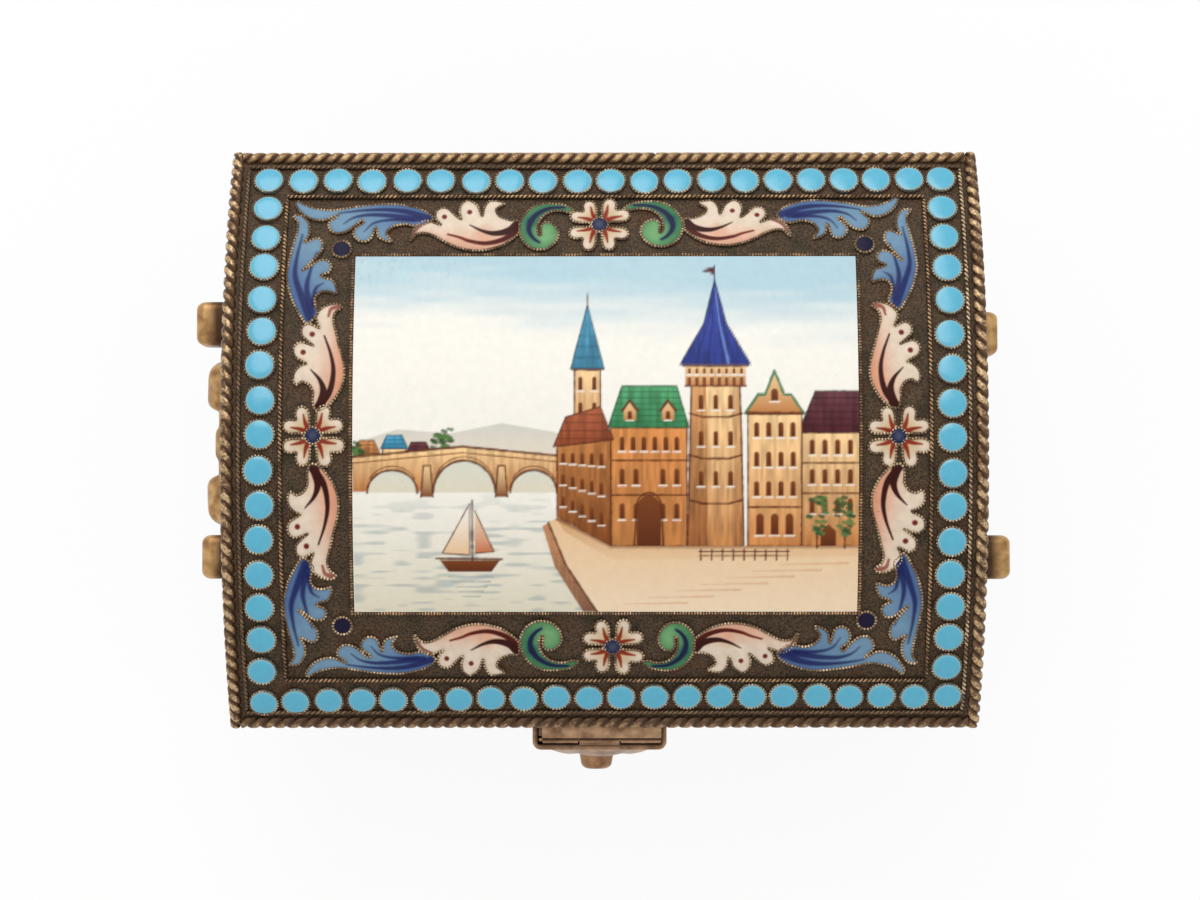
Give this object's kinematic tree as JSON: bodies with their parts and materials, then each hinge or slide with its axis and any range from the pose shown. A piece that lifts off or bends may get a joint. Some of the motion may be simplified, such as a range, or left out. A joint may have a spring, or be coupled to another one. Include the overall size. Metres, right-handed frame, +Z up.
{
  "type": "enamel casket",
  "caption": "Trunk-shaped metal keepsake casket with a barrel lid of cloisonne enamel and a curved plaque, hinged at the back, with a front hasp and swinging side handles.",
  "frame": {"origin": "middle of the flat underside of the base plate", "axes": "+X to the right along the length, +Y to the back (hinge side), +Z up; the hasp is at the front, -Y"},
  "size_m": [0.1003, 0.0746, 0.0575],
  "materials": {
    "gilt_sheet": "gilt sheet with a dark stippled patina outside",
    "gilt_wire": "gilt twisted wire, worn bright on the high places",
    "gilt_casting": "gilt castings, satin",
    "turquoise_enamel": "opaque glossy enamel",
    "painted_enamel": "painted enamel under clear flux"
  },
  "bodies": {
    "casket_body": {"base_plate": "gilt_sheet", "front_wall": "gilt_sheet", "back_wall": "gilt_sheet", "left_wall": "gilt_sheet", "right_wall": "gilt_sheet", "liner_front": "gilt_sheet", "liner_back": "gilt_sheet", "liner_left": "gilt_sheet", "liner_right": "gilt_sheet", "foot_rope_front": "gilt_wire", "foot_rope_back": "gilt_wire", "foot_rope_left": "gilt_wire", "foot_rope_right": "gilt_wire", "body_hinge_knuckle_1": "gilt_casting", "body_hinge_knuckle_2": "gilt_casting", "body_hinge_knuckle_3": "gilt_casting", "lid_hinge_pin": "gilt_casting", "catch_stud": "gilt_casting", "left_lug_front": "gilt_casting", "left_lug_back": "gilt_casting", "right_lug_front": "gilt_casting", "right_lug_back": "gilt_casting"},
    "lid": {"lid_vault": "gilt_sheet", "lid_end_left": "gilt_sheet", "lid_end_right": "gilt_sheet", "lid_rim_front": "gilt_sheet", "lid_rim_back": "gilt_sheet", "lid_rope_front": "gilt_wire", "lid_rope_back": "gilt_wire", "lid_rope_left": "gilt_wire", "lid_rope_right": "gilt_wire", "outer_wire_front": "gilt_wire", "outer_wire_back": "gilt_wire", "outer_wire_left": "gilt_wire", "outer_wire_right": "gilt_wire", "inner_wire_front": "gilt_wire", "inner_wire_back": "gilt_wire", "inner_wire_left": "gilt_wire", "inner_wire_right": "gilt_wire", "bead_row_front": "turquoise_enamel", "bead_row_back": "turquoise_enamel", "bead_row_left": "turquoise_enamel", "bead_row_right": "turquoise_enamel", "enamel_plaque": "painted_enamel", "plaque_bezel": "gilt_wire", "lid_hinge_knuckle_1": "gilt_casting", "lid_hinge_knuckle_2": "gilt_casting", "hasp_leaf": "gilt_casting", "hasp_hinge_pin": "gilt_casting"},
    "hasp": {"hasp_cover": "gilt_casting", "hasp_knob": "gilt_casting"},
    "left_handle": {"left_bail": "gilt_casting", "left_pivot_pin_front": "gilt_casting", "left_pivot_pin_back": "gilt_casting"},
    "right_handle": {"right_bail": "gilt_casting", "right_pivot_pin_front": "gilt_casting", "right_pivot_pin_back": "gilt_casting"}
  },
  "joints": [
    {"name": "lid_hinge", "type": "hinge", "parent": "casket_body", "child": "lid", "pos_m": [0, 0.0336, 0.042], "axis": [-1, 0, 0], "range_deg": [0, 105]},
    {"name": "hasp_hinge", "type": "hinge", "parent": "lid", "child": "hasp", "pos_m": [-0.00075, -0.03575, 0.0434], "axis": [-1, 0, 0], "range_deg": [0, 90]},
    {"name": "left_handle_swing", "type": "hinge", "parent": "casket_body", "child": "left_handle", "pos_m": [-0.0464, 0.0005, 0.031], "axis": [0, 1, 0], "range_deg": [-10, 140]},
    {"name": "right_handle_swing", "type": "hinge", "parent": "casket_body", "child": "right_handle", "pos_m": [0.0459, -0.0002, 0.031], "axis": [0, -1, 0], "range_deg": [0, 150]}
  ]
}
